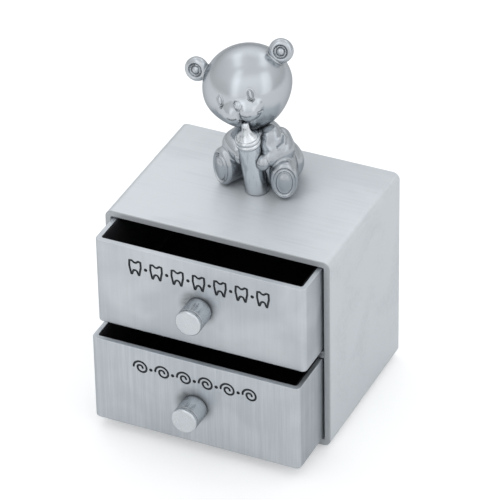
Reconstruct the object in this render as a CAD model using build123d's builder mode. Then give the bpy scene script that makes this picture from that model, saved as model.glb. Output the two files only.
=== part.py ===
"""A small two-drawer keepsake chest for a first tooth and a first curl, with a teddy bear on top."""
import os
from math import asin, cos, radians, sin, sqrt

from build123d import *

# Millimetres. +X runs to the right across the front, -Y is the way the drawers open, +Z is up.
# The origin is the middle of the felt pad's underside, where the chest stands.

# Case
case_width = 57.0
case_depth = 41.5
side_wall = 1.5
top_wall = 1.5
bottom_wall = 1.7
shelf_thickness = 1.8
back_thickness = 1.2
case_corner = 1.8
bay_corner = 0.3
edge_break = 0.22
panel_gap = 0.05
pad_thickness = 0.8
pad_inset = 1.5
pad_corner = 1.5

# Drawers
drawer_height = 23.0
drawer_side_gap = 0.4
drawer_lift_gap = 0.25
drawer_rear_gap = 0.6
drawer_front_wall = 1.4
drawer_wall = 1.2
drawer_floor = 1.2
drawer_front_corner = 1.3
drawer_rear_corner = 0.6
drawer_foot_break = 0.4
drawer_rim_break = 0.18
well_corner = 0.6
upper_drawer_open = 9.6
lower_drawer_open = 13.3

# Drawer linings
lining_thickness = 0.5
lining_gap = 0.05
lining_drop = 0.4

# Knobs and their screws
knob_diameter = 6.5
knob_length = 6.4
knob_drop = 1.0
knob_end_round = 0.45
knob_seam_break = 0.15
knob_groove_back = 1.0
knob_groove_width = 0.35
knob_groove_depth = 0.12
knob_screw_head = 3.2
knob_screw_diameter = 1.6
knob_screw_reach = 4.0
screw_hole_gap = 0.1
thread_gap = 0.02
screw_head_edge = 0.15
screw_slot_width = 0.4
screw_slot_depth = 0.3
hole_bottom_room = 0.4

# Row of pictures engraved on each drawer front
engraving_depth = 0.3
engraving_stroke = 0.55
engraving_drop = 5.2
tooth_width = 3.5
tooth_height = 4.3
tooth_count = 7
tooth_pitch = 5.4
tooth_round = 0.3
curl_diameter = 3.9
curl_count = 6
curl_pitch = 5.6
dot_diameter = 0.9

# Bear: its body
bear_across = 0.5
bear_back = 7.0
torso_width = 12.2
torso_height = 17.2
hip_width = 17.0
hip_thickness = 12.6
shoulder_radius = 2.65
elbow_radius = 2.6
paw_radius = 2.15
leg_length = 9.5
leg_turn = 25.0
leg_back_round = 2.4
sole_width = 7.2
sole_height = 10.0
sole_end_radius = 2.9
sole_round = 1.1
sole_rim = 1.0
sole_groove_width = 0.45
sole_groove_depth = 0.4

# Bear: its head
head_diameter = 21.2
crown_height = 9.9
chin_height = 10.4
head_pole_flat = 0.35
head_turn = 8.5
head_lift = 10.6
head_tilt = 20.0
neck_sink = 1.4
ear_diameter = 5.9
ear_thickness = 2.6
ear_round = 1.1
ear_cup_diameter = 3.5
ear_cup_depth = 0.7
muzzle_width = 10.4
muzzle_thickness = 6.8
nose_width = 2.2
nose_thickness = 1.6
eye_width = 2.1
eye_height = 3.1
eye_end_radius = 0.85
eye_groove_width = 0.4
eye_groove_depth = 0.25
solder_gap = 0.08

# Bear: its feeding bottle and the screws that hold it down
bottle_diameter = 5.4
collar_diameter = 5.9
collar_ring_height = 0.95
collar_ring_count = 2
teat_base_diameter = 4.5
teat_neck_diameter = 2.5
teat_neck_share = 0.45
teat_tip_diameter = 1.5
teat_length = 4.6
teat_sink = 0.6
bear_screw_spacing = 7.0
bear_screw_head = 3.6
bear_screw_diameter = 1.8
bear_screw_reach = 6.0

# One overrun serves every cut
overrun = 1.0

# Sizes that follow from those above
front_y = -case_depth / 2
bay_height = drawer_height + 2 * drawer_lift_gap
bay_width = case_width - 2 * side_wall
case_height = bottom_wall + bay_height + shelf_thickness + bay_height + top_wall
case_bottom = pad_thickness
case_top = case_bottom + case_height
lower_bay_floor = case_bottom + bottom_wall
upper_bay_floor = lower_bay_floor + bay_height + shelf_thickness
drawer_width = bay_width - 2 * drawer_side_gap
drawer_depth = case_depth - back_thickness - drawer_rear_gap
well_width = drawer_width - 2 * drawer_wall
well_depth = drawer_depth - drawer_front_wall - drawer_wall

os.makedirs("parts", exist_ok=True)


def save(piece, label):
    """Label a finished piece and write its file."""
    piece.label = label
    export_step(piece, f"parts/{label}.step")


def facing(origin, normal, across=(1, 0, 0)):
    """The plane at a point that faces along normal, with its first axis along across."""
    return Plane(origin=origin, x_dir=across, z_dir=normal)


def front_facing(y, z):
    """A plane across the front of the chest, at depth y and height z, that faces the viewer."""
    return facing((0, y, z), (0, -1, 0))


def turned_profile_plane(seat):
    """The plane for half of a turned outline: first axis outward, second along the seat's normal."""
    return Plane(origin=seat.origin, x_dir=seat.x_dir, z_dir=-seat.y_dir)


def countersunk_screw(seat, head_diameter, shank_diameter, length):
    """A countersunk screw whose slotted head lies on the seat's plane and whose shank runs behind it."""
    head_depth = (head_diameter - shank_diameter) / 2
    with BuildPart() as screw:
        with BuildSketch(turned_profile_plane(seat)):
            with BuildLine():
                Polyline(
                    (0, 0),
                    (head_diameter / 2, 0),
                    (head_diameter / 2, -screw_head_edge),
                    (shank_diameter / 2, -screw_head_edge - head_depth),
                    (shank_diameter / 2, -length),
                    (0, -length),
                    close=True,
                )
            make_face()
        revolve(axis=Axis(seat.origin, seat.z_dir))
        with BuildSketch(seat):
            Rectangle(head_diameter + overrun, screw_slot_width)
        extrude(amount=-screw_slot_depth, mode=Mode.SUBTRACT)
    return screw.part


def countersunk_hole(seat, head_diameter, shank_diameter, wall):
    """The hole for such a screw through a wall, wider than the screw by the hole's gap all round."""
    head_radius = head_diameter / 2 + screw_hole_gap
    shank_radius = shank_diameter / 2 + screw_hole_gap
    cone_depth = head_radius - shank_radius
    with BuildPart() as hole:
        with BuildSketch(turned_profile_plane(seat)):
            with BuildLine():
                Polyline(
                    (0, overrun),
                    (head_radius, overrun),
                    (head_radius, -screw_head_edge),
                    (shank_radius, -screw_head_edge - cone_depth),
                    (shank_radius, -wall - overrun),
                    (0, -wall - overrun),
                    close=True,
                )
            make_face()
        revolve(axis=Axis(seat.origin, seat.z_dir))
    return hole.part


# Case

case_front = front_facing(front_y, case_bottom + case_height / 2)
bays_middle = (top_wall - bottom_wall) / 2

bear_screw_seats = [
    facing((bear_across + side * bear_screw_spacing / 2, bear_back, case_top - top_wall), (0, 0, -1))
    for side in (-1, 1)
]
bear_screw_holes = [
    countersunk_hole(seat, bear_screw_head, bear_screw_diameter, top_wall) for seat in bear_screw_seats
]

with BuildPart() as case_shell:
    with BuildSketch(case_front):
        RectangleRounded(case_width, case_height, case_corner)
        with Locations((0, -bays_middle)):
            RectangleRounded(
                bay_width, case_height - bottom_wall - top_wall, bay_corner, mode=Mode.SUBTRACT
            )
    extrude(amount=-case_depth)
    end_faces = case_shell.faces().filter_by(Axis.Y).sort_by(Axis.Y)
    fillet([*end_faces[0].edges(), *end_faces[-1].edges()], edge_break)
    for bear_screw_hole in bear_screw_holes:
        add(bear_screw_hole, mode=Mode.SUBTRACT)
save(case_shell.part, "case_shell")

with BuildPart() as back_panel:
    with BuildSketch(front_facing(-front_y, case_front.origin.Z - bays_middle)):
        RectangleRounded(
            bay_width - 2 * panel_gap,
            case_height - bottom_wall - top_wall - 2 * panel_gap,
            bay_corner,
        )
    extrude(amount=back_thickness)
    outer_face = back_panel.faces().sort_by(Axis.Y)[-1]
    fillet(outer_face.edges(), edge_break)
save(back_panel.part, "back_panel")

with BuildPart() as middle_shelf:
    with BuildSketch(front_facing(front_y, upper_bay_floor - shelf_thickness / 2)):
        Rectangle(bay_width, shelf_thickness)
    extrude(amount=-(case_depth - back_thickness))
    shelf_front = middle_shelf.faces().sort_by(Axis.Y)[0]
    fillet(shelf_front.edges().filter_by(Axis.X), edge_break)
save(middle_shelf.part, "middle_shelf")

with BuildPart() as base_felt:
    with BuildSketch(Plane.XY):
        RectangleRounded(case_width - 2 * pad_inset, case_depth - 2 * pad_inset, pad_corner)
    extrude(amount=pad_thickness)
save(base_felt.part, "base_felt")


# Engraved pictures, each drawn on the drawer front's plane about its own middle

tooth_half_outline_shares = [
    (0.00, 0.36),
    (0.22, 0.50),
    (0.48, 0.46),
    (0.50, 0.06),
    (0.36, -0.50),
    (0.19, -0.50),
    (0.00, -0.10),
]


def tooth_outline(plane):
    """A molar drawn as a line: two bumps on the crown and two roots."""
    right_side = [(x * tooth_width, y * tooth_height) for x, y in tooth_half_outline_shares]
    left_side = [(-x, y) for x, y in reversed(right_side[1:-1])]
    with BuildSketch(plane) as picture:
        with BuildLine():
            Polyline(*right_side, *left_side, close=True)
        make_face()
        fillet(picture.vertices(), tooth_round)
        offset(amount=-engraving_stroke, kind=Kind.INTERSECTION, mode=Mode.SUBTRACT)
    return picture.sketch


curl_radius_shares = (1.0, 0.7, 0.4)


def curl_stroke(plane):
    """A lock of hair curled inward: half rings, each smaller than the one before."""
    outer = (curl_diameter - engraving_stroke) / 2
    half_turns = []
    edge_x = -outer
    for turn, share in enumerate(curl_radius_shares):
        radius = outer * share
        side = 1 if turn % 2 == 0 else -1
        middle_x = edge_x + side * radius
        half_turns.append(CenterArc((middle_x, 0), radius, 0, side * 180))
        edge_x = middle_x + side * radius
    with BuildSketch(plane) as picture:
        for half_turn in half_turns:
            SlotArc(half_turn, engraving_stroke)
    return picture.sketch


def engraved_row(drawer_top, drawer_face_y, picture, count, pitch):
    """The cutters for a row of like pictures with a dot between each two, on a drawer's front."""
    height = drawer_top - engraving_drop
    pictures = []
    for index in range(count):
        across = (index - (count - 1) / 2) * pitch
        pictures.append(picture(facing((across, drawer_face_y, height), (0, -1, 0))))
    with BuildSketch(front_facing(drawer_face_y, height)) as dots:
        with GridLocations(pitch, 0, count - 1, 1):
            Circle(dot_diameter / 2)
    return [extrude(drawing, amount=-engraving_depth) for drawing in (*pictures, dots.sketch)]


def build_drawer(name, bay_floor, open_by, picture, count, pitch):
    """One drawer with its knob, screw and two linings."""
    bottom = bay_floor + drawer_lift_gap
    top = bottom + drawer_height
    face_y = front_y - open_by
    middle_y = face_y + drawer_depth / 2
    well_y = face_y + drawer_front_wall + well_depth / 2
    well_floor = bottom + drawer_floor
    knob_z = bottom + drawer_height / 2 - knob_drop
    knob_seat = front_facing(face_y, knob_z)
    screw_seat = facing((0, face_y + drawer_front_wall, knob_z), (0, 1, 0))
    row = engraved_row(top, face_y, picture, count, pitch)
    screw_hole = countersunk_hole(screw_seat, knob_screw_head, knob_screw_diameter, drawer_front_wall)

    with BuildPart() as box:
        with BuildSketch(Plane((0, middle_y, bottom))):
            Rectangle(drawer_width, drawer_depth)
        extrude(amount=drawer_height)
        uprights = box.edges().filter_by(Axis.Z).sort_by(Axis.Y)
        fillet(uprights[:2], drawer_front_corner)
        rear_uprights = box.edges().filter_by(Axis.Z).sort_by(Axis.Y)[-2:]
        fillet(rear_uprights, drawer_rear_corner)
        fillet(box.faces().sort_by(Axis.Z)[0].edges(), drawer_foot_break)
        with BuildSketch(Plane((0, well_y, top))):
            RectangleRounded(well_width, well_depth, well_corner)
        extrude(amount=well_floor - top, mode=Mode.SUBTRACT)
        fillet(box.faces().sort_by(Axis.Z)[-1].edges(), drawer_rim_break)
        for cutter in row:
            add(cutter, mode=Mode.SUBTRACT)
        add(screw_hole, mode=Mode.SUBTRACT)
    save(box.part, f"{name}_drawer")

    groove_top = knob_length - knob_groove_back
    groove_foot = groove_top - knob_groove_width
    radius = knob_diameter / 2
    with BuildPart() as knob:
        with BuildSketch(turned_profile_plane(knob_seat)):
            with BuildLine():
                Polyline(
                    (0, 0),
                    (radius - knob_seam_break, 0),
                    (radius, knob_seam_break),
                    (radius, groove_foot),
                    (radius - knob_groove_depth, (groove_foot + groove_top) / 2),
                    (radius, groove_top),
                    (radius, knob_length),
                    (0, knob_length),
                    close=True,
                )
            make_face()
        revolve(axis=Axis(knob_seat.origin, knob_seat.z_dir))
        fillet(knob.faces().sort_by(Axis.Y)[0].edges(), knob_end_round)
        with Locations(facing(knob_seat.origin, (0, 1, 0))):
            Hole(
                knob_screw_diameter / 2 + thread_gap,
                knob_screw_reach - drawer_front_wall + hole_bottom_room,
            )
    save(knob.part, f"{name}_knob")

    screw = countersunk_screw(screw_seat, knob_screw_head, knob_screw_diameter, knob_screw_reach)
    save(screw, f"{name}_knob_screw")

    lining_width = well_width - 2 * lining_gap
    lining_depth = well_depth - 2 * lining_gap
    with BuildPart() as floor_lining:
        with BuildSketch(Plane((0, well_y, well_floor))):
            RectangleRounded(lining_width, lining_depth, well_corner)
        extrude(amount=lining_thickness)
    save(floor_lining.part, f"{name}_floor_lining")

    wall_foot = well_floor + lining_thickness
    with BuildPart() as wall_lining:
        with BuildSketch(Plane((0, well_y, wall_foot))) as strip:
            RectangleRounded(lining_width, lining_depth, well_corner)
            offset(amount=-lining_thickness, kind=Kind.INTERSECTION, mode=Mode.SUBTRACT)
        extrude(amount=top - lining_drop - wall_foot)
    save(wall_lining.part, f"{name}_wall_lining")


build_drawer("upper", upper_bay_floor, upper_drawer_open, tooth_outline, tooth_count, tooth_pitch)
build_drawer("lower", lower_bay_floor, lower_drawer_open, curl_stroke, curl_count, curl_pitch)


# Bear. Places on its body are shares of the torso's width and height, from the middle of its seat.

neck_shares = (-0.088, -0.162, 0.95)
torso_middle_shares = (-0.10, -0.03, 0.42)
hip_middle_shares = (0.0, 0.09, 0.26)
right_shoulder_shares = (0.31, -0.10, 0.725)
left_shoulder_shares = (-0.36, -0.10, 0.725)
right_elbow_shares = (0.43, -0.40, 0.58)
left_elbow_shares = (-0.48, -0.38, 0.60)
right_paw_shares = (0.23, -0.71, 0.57)
left_paw_shares = (-0.32, -0.68, 0.57)
sole_shares = (0.64, -0.67, 0.305)
bottle_foot_shares = (0.0, -0.51, 0.0)

# How far round a round body's outline stops short of its pole, in degrees
pole_angle = 3


def on_bear(shares, side=1):
    """A place on the bear, mirrored to its other side where side is -1."""
    return Vector(
        bear_across + side * shares[0] * torso_width,
        bear_back + shares[1] * torso_width,
        case_top + shares[2] * torso_height,
    )


def round_body(middle, along, radius, half_length, seam):
    """A body like an egg with two like ends, turned about an axis, with a tiny flat at each pole."""
    seat = facing(middle, along, seam)
    with BuildPart() as body:
        with BuildSketch(turned_profile_plane(seat)):
            with BuildLine():
                side = EllipticalCenterArc(
                    (0, 0),
                    radius,
                    half_length,
                    start_angle=pole_angle - 90,
                    arc_size=180 - 2 * pole_angle,
                )
                Polyline(side @ 1, (0, (side @ 1).Y), (0, (side @ 0).Y), side @ 0)
            make_face()
        revolve(axis=Axis(seat.origin, seat.z_dir))
    return body.part


def limb(start, end, start_radius, end_radius):
    """A limb that tapers between two round ends."""
    along = end - start
    length = along.length
    lean = asin((start_radius - end_radius) / length)
    across = along.cross(Vector(0, 0, 1)).normalized()
    plane = Plane(origin=start, x_dir=across, z_dir=across.cross(along.normalized()))
    start_tangent = (start_radius * cos(lean), start_radius * sin(lean))
    end_tangent = (end_radius * cos(lean), length + end_radius * sin(lean))
    start_middle = (start_radius * cos(radians(-45)), start_radius * sin(radians(-45)))
    end_middle = (end_radius * cos(radians(45)), length + end_radius * sin(radians(45)))
    with BuildPart() as tapered:
        with BuildSketch(plane):
            with BuildLine():
                ThreePointArc((0, -start_radius), start_middle, start_tangent)
                Line(start_tangent, end_tangent)
                ThreePointArc(end_tangent, end_middle, (0, length + end_radius))
                Line((0, length + end_radius), (0, -start_radius))
            make_face()
        revolve(axis=Axis(start, along))
    return tapered.part


def oval(plane, width, height, end_radius, line_width=0):
    """An upright oval of four arcs on a plane, whole or, with a line width, drawn as a line."""
    half_width = width / 2
    end_middle = height / 2 - end_radius
    side_radius = (half_width**2 + end_middle**2 - end_radius**2) / (2 * (half_width - end_radius))
    reach = side_radius - end_radius
    x = end_radius * (side_radius - half_width) / reach
    y = end_middle + end_radius * end_middle / reach
    with BuildSketch(plane) as shape:
        with BuildLine():
            ThreePointArc((x, -y), (half_width, 0), (x, y))
            ThreePointArc((x, y), (0, height / 2), (-x, y))
            ThreePointArc((-x, y), (-half_width, 0), (-x, -y))
            ThreePointArc((-x, -y), (0, -height / 2), (x, -y))
        make_face()
        if line_width:
            offset(amount=-line_width, kind=Kind.INTERSECTION, mode=Mode.SUBTRACT)
    return shape.sketch


def leg(side):
    """A short leg that lies on the case and ends in an oval sole with a rim and a pad."""
    turn = radians(side * leg_turn)
    sole = facing(on_bear(sole_shares, side), (sin(turn), -cos(turn), 0), (cos(turn), sin(turn), 0))
    ring_width = sole_width - 2 * sole_rim
    ring_height = sole_height - 2 * sole_rim
    ring_end = sole_end_radius - sole_rim
    ring = oval(sole, ring_width, ring_height, ring_end, sole_groove_width)
    with BuildPart() as shape:
        add(extrude(oval(sole, sole_width, sole_height, sole_end_radius), amount=-leg_length))
        ends = shape.faces().sort_by(Axis(sole.origin, sole.z_dir))
        fillet(ends[0].edges(), leg_back_round)
        front_end = shape.faces().sort_by(Axis(sole.origin, sole.z_dir))[-1]
        fillet(front_end.edges(), sole_round)
        add(extrude(ring, amount=-sole_groove_depth), mode=Mode.SUBTRACT)
    return shape.part


# The head's own directions: its face looks to the front, turned, lifted and tilted a little
face_ahead = Vector(
    sin(radians(head_turn)) * cos(radians(head_lift)),
    -cos(radians(head_turn)) * cos(radians(head_lift)),
    sin(radians(head_lift)),
)
level_right = Vector(0, 0, 1).cross(face_ahead).normalized()
head_right = level_right.rotate(Axis((0, 0, 0), face_ahead), head_tilt)
head_up = face_ahead.cross(head_right)
head_radius = head_diameter / 2
head_middle = on_bear(neck_shares) + head_up * (chin_height - neck_sink)
head_frame = facing(head_middle, head_up, -face_ahead)

# Places on the head are shares of its radius and, above or below the middle, its crown or chin height
crown_curve_shares = ((0.56, 1.0), (1.0, 0.552))
chin_curve_shares = ((1.0, 0.42), (0.50, 1.0))
ear_shares = (1.03, 0.03, 0.67)
muzzle_shares = (0.0, 0.69, -0.29)
nose_shares = (0.0, 1.02, -0.16)
eye_side_share = 0.37
eye_line_share = 0.05
mouth_shares = (0.0, 0.84, -0.60)


def on_head(shares, side=1):
    """A place on the head, mirrored to its other side where side is -1."""
    height = crown_height if shares[2] > 0 else chin_height
    return (
        head_middle
        + head_right * (side * shares[0] * head_radius)
        + face_ahead * (shares[1] * head_radius)
        + head_up * (shares[2] * height)
    )


def head_egg(extra):
    """The head's egg shape, narrower to the chin, grown by extra all round."""
    radius = head_radius + extra
    crown = crown_height + extra
    chin = chin_height + extra
    crown_curve = [(x * radius, y * crown) for x, y in crown_curve_shares]
    chin_curve = [(x * radius, -y * chin) for x, y in chin_curve_shares]
    with BuildPart() as egg:
        with BuildSketch(turned_profile_plane(head_frame)):
            with BuildLine():
                Bezier((head_pole_flat, crown), *crown_curve, (radius, 0))
                Bezier((radius, 0), *chin_curve, (head_pole_flat, -chin))
                Polyline((head_pole_flat, -chin), (0, -chin), (0, crown), (head_pole_flat, crown))
            make_face()
        revolve(axis=Axis(head_frame.origin, head_frame.z_dir))
    return egg.part


def ear(side):
    """A round ear: a thick rounded disc with a shallow cup in its face."""
    face = facing(on_head(ear_shares, side) + face_ahead * ear_thickness / 2, face_ahead, head_right)
    with BuildPart() as disc:
        with BuildSketch(face):
            Circle(ear_diameter / 2)
        extrude(amount=-ear_thickness)
        fillet(disc.edges().filter_by(GeomType.CIRCLE), ear_round)
        with BuildSketch(face):
            Circle(ear_cup_diameter / 2)
        extrude(amount=-ear_cup_depth, mode=Mode.SUBTRACT)
    return disc.part


def eye_groove(side):
    """The cutter for an eye's oval outline, square to the head's round surface."""
    aside = side * eye_side_share
    outward = head_right * aside + face_ahead * sqrt(1 - aside**2)
    seat = facing(
        on_head((0, 0, eye_line_share)) + outward * (head_radius - eye_groove_depth),
        outward,
        head_up.cross(outward),
    )
    outline = oval(seat, eye_width, eye_height, eye_end_radius, eye_groove_width)
    return extrude(outline, amount=overrun)


def bottle_solid(extra):
    """The feeding bottle, grown by extra all round, from the case's top to the bear's mouth."""
    radius = bottle_diameter / 2 + extra
    collar_radius = collar_diameter / 2 + extra
    full_length = (mouth - bottle_foot).length
    collar_top = full_length - teat_length
    teat_end = full_length + teat_sink
    teat_tip = (teat_tip_diameter / 2 + extra, teat_end)
    teat_neck = (teat_neck_diameter / 2 + extra, collar_top + teat_neck_share * teat_length)
    teat_base = (teat_base_diameter / 2 + extra, collar_top)
    with BuildPart() as bottle:
        with BuildSketch(turned_profile_plane(bottle_seat)):
            with BuildLine():
                ring_top = collar_top
                for ring in range(collar_ring_count):
                    ring_foot = ring_top - collar_ring_height
                    bulge = (collar_radius, ring_top - collar_ring_height / 2)
                    ThreePointArc((radius, ring_top), bulge, (radius, ring_foot))
                    ring_top = ring_foot
                Polyline((radius, ring_top), (radius, -overrun), (0, -overrun), (0, teat_end))
                Polyline((0, teat_end), teat_tip, teat_neck, teat_base, (radius, collar_top))
            make_face()
        revolve(axis=Axis(bottle_seat.origin, bottle_seat.z_dir))
        split(bisect_by=Plane.XY.offset(case_top), keep=Keep.TOP)
    return bottle.part


mouth = on_head(mouth_shares)
bottle_foot = on_bear(bottle_foot_shares)
bottle_seat = facing(bottle_foot, mouth - bottle_foot)

grown_head = head_egg(solder_gap)
grown_bottle = bottle_solid(solder_gap)

backward = (0, 1, 0)
torso = round_body(
    on_bear(torso_middle_shares), (0, 0, 1), torso_width / 2, torso_height / 2, backward
)
hips = round_body(on_bear(hip_middle_shares), (1, 0, 0), hip_thickness / 2, hip_width / 2, backward)
limbs = [leg(-1), leg(1)]
for shoulder_shares, elbow_shares, paw_shares in (
    (right_shoulder_shares, right_elbow_shares, right_paw_shares),
    (left_shoulder_shares, left_elbow_shares, left_paw_shares),
):
    elbow = on_bear(elbow_shares)
    limbs.append(limb(on_bear(shoulder_shares), elbow, shoulder_radius, elbow_radius))
    limbs.append(limb(elbow, on_bear(paw_shares), elbow_radius, paw_radius))

with BuildPart() as bear_body:
    add(torso)
    add(hips)
    for piece in limbs:
        add(piece)
    split(bisect_by=Plane.XY.offset(case_top), keep=Keep.TOP)
    add(grown_bottle, mode=Mode.SUBTRACT)
    add(grown_head, mode=Mode.SUBTRACT)
    for seat in bear_screw_seats:
        with Locations(facing((seat.origin.X, seat.origin.Y, case_top), (0, 0, -1))):
            Hole(bear_screw_diameter / 2 + thread_gap, bear_screw_reach - top_wall + hole_bottom_room)
save(bear_body.part, "bear_body")

muzzle = round_body(
    on_head(muzzle_shares), head_right, muzzle_thickness / 2, muzzle_width / 2, -face_ahead
)
nose = round_body(on_head(nose_shares), head_right, nose_thickness / 2, nose_width / 2, -face_ahead)

with BuildPart() as bear_head:
    add(head_egg(0))
    for side in (-1, 1):
        add(ear(side))
        add(eye_groove(side), mode=Mode.SUBTRACT)
    add(muzzle)
    add(nose)
    add(grown_bottle, mode=Mode.SUBTRACT)
save(bear_head.part, "bear_head")

with BuildPart() as feeding_bottle:
    add(bottle_solid(0))
save(feeding_bottle.part, "feeding_bottle")

bear_screws = Compound(
    children=[
        countersunk_screw(seat, bear_screw_head, bear_screw_diameter, bear_screw_reach)
        for seat in bear_screw_seats
    ]
)
save(bear_screws, "bear_screws")
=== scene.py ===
"""The looks of a small two-drawer keepsake chest with a seated teddy bear on its top."""
import math

import bmesh
import bpy
import numpy as np
from mathutils import Matrix, Vector


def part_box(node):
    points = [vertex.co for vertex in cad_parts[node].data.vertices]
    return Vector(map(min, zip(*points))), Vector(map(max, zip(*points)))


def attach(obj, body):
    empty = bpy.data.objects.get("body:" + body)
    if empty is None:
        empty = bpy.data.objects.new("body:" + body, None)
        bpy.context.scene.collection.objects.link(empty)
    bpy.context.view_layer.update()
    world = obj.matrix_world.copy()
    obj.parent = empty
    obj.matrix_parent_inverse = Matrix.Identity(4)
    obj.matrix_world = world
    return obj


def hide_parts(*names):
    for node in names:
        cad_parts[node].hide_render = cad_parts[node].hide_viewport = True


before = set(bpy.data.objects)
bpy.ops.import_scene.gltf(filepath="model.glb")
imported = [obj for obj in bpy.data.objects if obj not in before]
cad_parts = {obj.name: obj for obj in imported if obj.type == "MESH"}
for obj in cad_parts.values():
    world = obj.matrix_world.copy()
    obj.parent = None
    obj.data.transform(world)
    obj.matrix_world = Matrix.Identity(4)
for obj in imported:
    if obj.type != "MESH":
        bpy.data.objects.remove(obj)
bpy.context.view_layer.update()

# Shapes are worked in millimetres, in the chest's own frame, and scaled to metres when they are done.
MM = 0.001
tiny = 1e-6


def corners_of(node):
    """A node's lowest and highest corners, in millimetres."""
    return [np.round(np.array(corner) / MM, 3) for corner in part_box(node)]


case_low, case_high = corners_of("case_shell")
case_front, case_back, case_top = case_low[1], case_high[1], case_high[2]

# Bear: its body, with places as shares of the torso's width and height
bear_across = 0.5
bear_back = 7.0
torso_width = 12.2
torso_height = 17.2
hip_width = 17.0
hip_thickness = 12.6
shoulder_radius = 2.65
elbow_radius = 2.55
cuff_radius = 2.3
cuff_share = 0.6
paw_radius = 1.85
paw_stretch = (0.95, 1.0, 1.12)
leg_length = 9.5
leg_turn = 25.0
sole_width = 6.5
sole_height = 10.0
sole_round = 1.3
neck_shares = (-0.088, -0.162, 0.95)
torso_middle_shares = (-0.10, -0.03, 0.42)
hip_middle_shares = (0.0, 0.09, 0.26)
right_arm_shares = ((0.31, -0.10, 0.725), (0.44, -0.29, 0.665), (0.235, -0.70, 0.57))
left_arm_shares = ((-0.34, -0.10, 0.725), (-0.49, -0.36, 0.62), (-0.25, -0.62, 0.55))
sole_shares = {1: (0.66, -0.67, 0.305), -1: (-0.70, -0.67, 0.30)}
bottle_foot_shares = (0.0, -0.51, 0.0)

# Bear: its head, with places as shares of its radius, crown height and chin height
head_radius = 10.6
crown_height = 9.9
chin_height = 10.4
head_turn = 8.5
head_lift = 10.6
head_tilt = 20.0
neck_sink = 1.4
ear_radius = 2.92
ear_thickness = 2.6
ear_round = 1.15
ear_shares = (1.005, 0.03, 0.665)
ear_lean = (0.12, 0.05)
ear_cup = (1.7, 1.7, 1.1)
ear_cup_stand = 0.05
ear_dome = (1.0, 1.0, 0.85)
ear_dome_sink = 0.75
mouth_shares = (0.0, 0.84, -0.60)

# Each groove of an eye: its reach to the side and up, and half its width
eye_rings = (((1.0, 1.6), 0.17), ((0.55, 1.1), 0.2))
eye_dome = (0.38, 0.86, 0.5)
eye_dome_sink = 0.25

# Places on the face are angles from its middle, to the side and up
eye_places = ((21.5, 3.2), (-21.5, 3.2))
cheek_places = ((11.8, -19.0), (-11.8, -19.0))


def vector(*values):
    """Three numbers as an array."""
    return np.array(values, float)


def unit(direction):
    """The direction with a length of one."""
    return direction / np.linalg.norm(direction)


def turned(direction, axis, angle):
    """The direction turned about an axis by an angle in degrees."""
    return np.array(Matrix.Rotation(math.radians(angle), 3, Vector(axis)) @ Vector(direction))


def on_bear(shares):
    """A place on the bear's body."""
    return vector(
        bear_across + shares[0] * torso_width,
        bear_back + shares[1] * torso_width,
        case_top + shares[2] * torso_height,
    )


turn, lift = math.radians(head_turn), math.radians(head_lift)
face_ahead = vector(
    math.sin(turn) * math.cos(lift), -math.cos(turn) * math.cos(lift), math.sin(lift)
)
head_right = turned(unit(np.cross(vector(0, 0, 1), face_ahead)), face_ahead, head_tilt)
head_up = np.cross(face_ahead, head_right)
head_middle = on_bear(neck_shares) + head_up * (chin_height - neck_sink)
head_axes = np.array([head_right, face_ahead, head_up])


def on_head(shares, side=1):
    """A place in or on the head, mirrored to its other side where side is -1."""
    height = crown_height if shares[2] > 0 else chin_height
    local = vector(side * shares[0] * head_radius, shares[1] * head_radius, shares[2] * height)
    return head_middle + local @ head_axes


def face_direction(place):
    """The direction from the head's middle to a place given by its angles to the side and up."""
    aside, above = (math.radians(angle) for angle in place)
    local = vector(math.sin(aside) * math.cos(above), math.cos(aside) * math.cos(above), math.sin(above))
    return local @ head_axes


mouth = on_head(mouth_shares)
bottle_foot = on_bear(bottle_foot_shares)
bottle_axis = unit(mouth - bottle_foot)
bottle_length = float(np.linalg.norm(mouth - bottle_foot))

# Forms. Each gives how far points lie outside a shape, and is negative inside it.


def joined(first, second, fillet):
    """Two shapes run together with a soft fillet."""
    overlap = np.maximum(fillet - np.abs(first - second), 0) / fillet
    return np.minimum(first, second) - overlap * overlap * fillet / 4


def carved(first, second, rounding):
    """The first shape with the second taken out of it, and the rim rounded."""
    return -joined(-first, second, rounding)


def ball(points, middle, radius):
    """A round ball."""
    return np.linalg.norm(points - middle, axis=1) - radius


def egg(points, middle, radii, axes=np.eye(3)):
    """An ellipsoid whose three radii lie along the axes."""
    local = (points - middle) @ axes.T
    near = np.linalg.norm(local / radii, axis=1)
    far = np.maximum(np.linalg.norm(local / np.square(radii), axis=1), tiny)
    return near * (near - 1) / far


def limb(points, start, end, start_radius, end_radius):
    """A limb that tapers between two round ends."""
    length = np.linalg.norm(end - start)
    along = (end - start) / length
    height = (points - start) @ along
    aside = np.linalg.norm(points - start - height[:, None] * along, axis=1)
    lean = (start_radius - end_radius) / length
    upright = math.sqrt(1 - lean * lean)
    share = height * upright - aside * lean
    side_wall = aside * upright + height * lean - start_radius
    below = np.hypot(aside, height) - start_radius
    above = np.hypot(aside, height - length) - end_radius
    return np.where(share < 0, below, np.where(share > upright * length, above, side_wall))


def ring(points, middle, axes, radii, thickness):
    """A ring with round section. The third axis is its own, and the radii lie along the others."""
    local = (points - middle) @ axes.T
    across = local[:, :2] / radii
    reach = np.maximum(np.linalg.norm(across, axis=1), tiny)
    rim = np.linalg.norm(across / reach[:, None] * radii, axis=1)
    return np.hypot(np.linalg.norm(local[:, :2], axis=1) - rim, local[:, 2]) - thickness


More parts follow.
